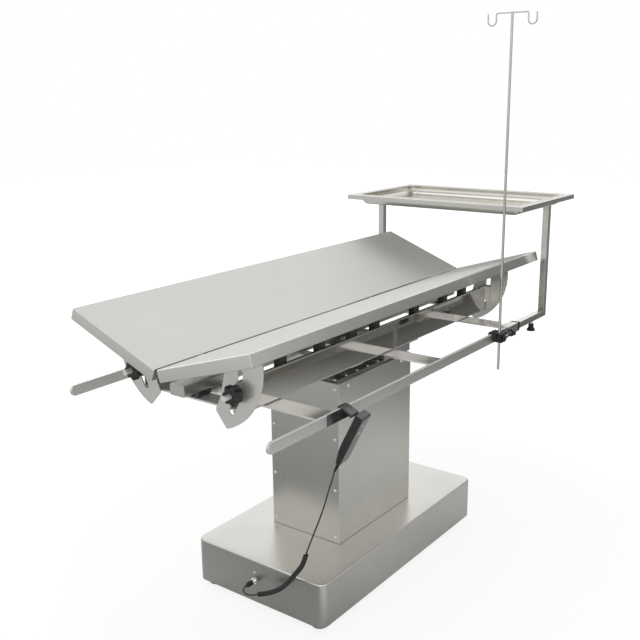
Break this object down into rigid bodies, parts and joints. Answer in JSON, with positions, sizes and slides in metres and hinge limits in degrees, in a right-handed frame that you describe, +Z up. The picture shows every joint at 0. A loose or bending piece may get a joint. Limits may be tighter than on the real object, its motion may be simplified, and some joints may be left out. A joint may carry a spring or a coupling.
{
  "type": "veterinary surgery table",
  "caption": "Stainless surgery table with a split V top on a lifting column, side rails, an instrument tray on a stand, a drip pole and a corded handset.",
  "frame": {"origin": "on the floor, below the middle of the bounding box with the cord left out", "axes": "+X along the table towards the instrument tray, +Y from the drip pole's side to the far side, +Z up"},
  "size_m": [1.718, 0.7882, 1.668],
  "materials": {
    "brushed": "satin",
    "polished": "polished",
    "chrome": "polished",
    "painted_steel": "satin",
    "black_paint": "matte",
    "black_plastic": "matte",
    "white_plastic": "matte",
    "grey_plastic": "matte",
    "black_rubber": "matte"
  },
  "bodies": {
    "base": {"base_cover": "brushed", "base_chassis": "painted_steel", "base_feet": "black_rubber", "control_box": "black_plastic", "inner_column": "brushed", "glide_strips": "white_plastic", "actuator_tube": "painted_steel", "connector_socket": "chrome", "cord_plug": "black_plastic", "cord_tail": "black_rubber", "handset_coil": "black_rubber"},
    "head": {"column_cover": "brushed", "column_end_panel": "brushed", "cover_screws": "chrome", "column_top_plate": "black_paint", "actuator_rod": "chrome", "head_channels": "brushed", "near_side_plate": "polished", "far_side_plate": "polished", "centre_beam": "brushed", "beam_saddles": "painted_steel", "end_crossbars": "brushed", "clamp_studs": "polished", "rest_pads": "black_rubber", "hinge_brackets": "brushed", "arm_left": "polished", "arm_middle": "polished", "arm_right": "polished", "near_rail": "brushed", "far_rail": "brushed", "stand_sockets": "brushed", "stand_bushes": "black_plastic", "handset_hanger": "black_paint", "handset_shell": "black_plastic", "handset_front": "grey_plastic", "strain_relief": "black_rubber", "handset_cord": "black_rubber"},
    "near_leaf": {"near_panel": "brushed", "near_ribs": "brushed", "near_angle_plates": "brushed"},
    "far_leaf": {"far_panel": "brushed", "far_ribs": "brushed", "far_angle_plates": "brushed"},
    "near_left_knob": {"near_left_knob": "black_plastic"},
    "near_right_knob": {"near_right_knob": "black_plastic"},
    "far_left_knob": {"far_left_knob": "black_plastic"},
    "far_right_knob": {"far_right_knob": "black_plastic"},
    "tray_stand": {"near_stand_leg": "brushed", "far_stand_leg": "brushed", "tray_frame": "brushed", "stand_feet": "black_rubber"},
    "tray": {"instrument_tray": "polished"},
    "iv_clamp": {"clamp_block": "black_plastic"},
    "pole_knob": {"pole_knob": "black_plastic"},
    "rail_knob": {"rail_knob": "black_plastic"},
    "drip_pole": {"iv_pole": "polished"},
    "up_button": {"up_button": "white_plastic"},
    "down_button": {"down_button": "white_plastic"}
  },
  "joints": [
    {"name": "column_lift", "type": "slide", "parent": "base", "child": "head", "axis": [0, 0, 1], "range_m": [0, 0.3], "deforming": ["handset_coil"]},
    {"name": "near_tilt", "type": "hinge", "parent": "head", "child": "near_leaf", "pos_m": [-0.091, 0.03, 0.8065], "axis": [1, 0, 0], "range_deg": [-20, 17]},
    {"name": "far_tilt", "type": "hinge", "parent": "head", "child": "far_leaf", "pos_m": [-0.091, 0.058, 0.8065], "axis": [1, 0, 0], "range_deg": [-21, 16.4]},
    {"name": "near_left_turn", "type": "hinge", "parent": "head", "child": "near_left_knob", "pos_m": [-0.771, -0.128, 0.761], "axis": [1, 0, 0], "continuous": true},
    {"name": "near_right_turn", "type": "hinge", "parent": "head", "child": "near_right_knob", "pos_m": [0.554, -0.128, 0.761], "axis": [1, 0, 0], "continuous": true},
    {"name": "far_left_turn", "type": "hinge", "parent": "head", "child": "far_left_knob", "pos_m": [-0.771, 0.216, 0.761], "axis": [1, 0, 0], "continuous": true},
    {"name": "far_right_turn", "type": "hinge", "parent": "head", "child": "far_right_knob", "pos_m": [0.554, 0.216, 0.761], "axis": [1, 0, 0], "continuous": true},
    {"name": "stand_slide", "type": "slide", "parent": "head", "child": "tray_stand", "axis": [1, 0, 0], "range_m": [0, 0.06]},
    {"name": "tray_lift", "type": "slide", "parent": "tray_stand", "child": "tray", "axis": [0, 0, 1], "range_m": [0, 0.1]},
    {"name": "clamp_slide", "type": "slide", "parent": "head", "child": "iv_clamp", "axis": [1, 0, 0], "range_m": [-0.28, 0]},
    {"name": "pole_knob_turn", "type": "hinge", "parent": "iv_clamp", "child": "pole_knob", "pos_m": [0.344, -0.318, 0.69], "axis": [1, 0, 0], "continuous": true},
    {"name": "rail_knob_turn", "type": "hinge", "parent": "iv_clamp", "child": "rail_knob", "pos_m": [0.247, -0.331, 0.694], "axis": [0, 1, 0], "continuous": true},
    {"name": "pole_slide", "type": "slide", "parent": "iv_clamp", "child": "drip_pole", "axis": [0, 0, 1], "range_m": [-0.4, 0.05]},
    {"name": "up_press", "type": "slide", "parent": "head", "child": "up_button", "axis": [-0.1251, 0.89, 0.4384], "range_m": [0, 0.0012], "stiffness_N_per_m": 600},
    {"name": "down_press", "type": "slide", "parent": "head", "child": "down_button", "axis": [-0.1251, 0.89, 0.4384], "range_m": [0, 0.0012], "stiffness_N_per_m": 600}
  ]
}
